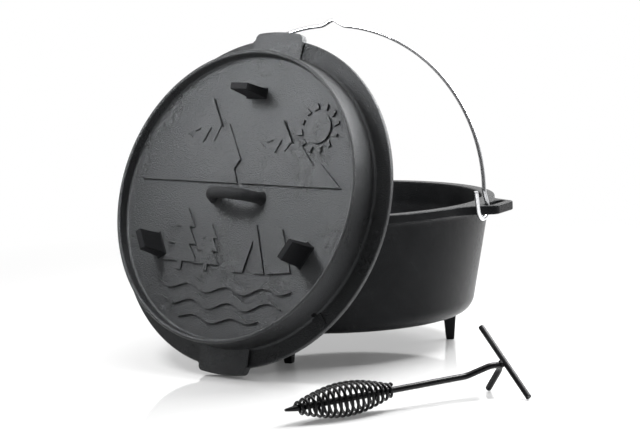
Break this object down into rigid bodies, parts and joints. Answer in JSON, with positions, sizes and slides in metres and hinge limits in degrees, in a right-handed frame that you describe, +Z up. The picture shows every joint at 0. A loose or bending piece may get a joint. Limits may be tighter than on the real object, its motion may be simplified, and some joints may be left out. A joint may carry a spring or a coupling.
{
  "type": "camp dutch oven",
  "caption": "Cast iron camp oven on feet, with a flanged lid that leans on its rim, a swinging wire bail and a separate lid lifter with a coil grip.",
  "frame": {"origin": "on the floor, under the middle of the box around pot, leaning lid and lifter", "axes": "+Z up and square to the cooking floor, +X along the line between the two ears, -Y towards the leaning lid"},
  "size_m": [0.5708, 0.6343, 0.3929],
  "materials": {
    "cast_iron": "sand-cast grain, pre-seasoned, satin",
    "plated_wire": "bright zinc plating",
    "black_steel": "gloss black paint"
  },
  "bodies": {
    "oven_pot": {"pot": "cast_iron"},
    "oven_bail": {"bail": "plated_wire"},
    "oven_lid": {"lid": "cast_iron"},
    "lid_lifter": {"lifter_rod": "black_steel", "lifter_crossbar": "black_steel", "lifter_grip": "black_steel", "crossbar_weld": "black_steel", "grip_weld_front": "black_steel", "grip_weld_tail": "black_steel"}
  },
  "joints": [
    {"name": "bail_swing", "type": "hinge", "parent": "oven_pot", "child": "oven_bail", "pos_m": [-0.0644, 0.0982, 0.1755], "axis": [1, 0, 0], "range_deg": [-60, 15]},
    {"name": "lid_lift", "type": "slide", "parent": "oven_pot", "child": "oven_lid", "axis": [-0.169, -0.9297, 0.3272], "range_m": [0, 0.25]},
    {"name": "lifter_lift", "type": "slide", "parent": "oven_pot", "child": "lid_lifter", "axis": [0, 0, 1], "range_m": [0, 0.3]}
  ]
}
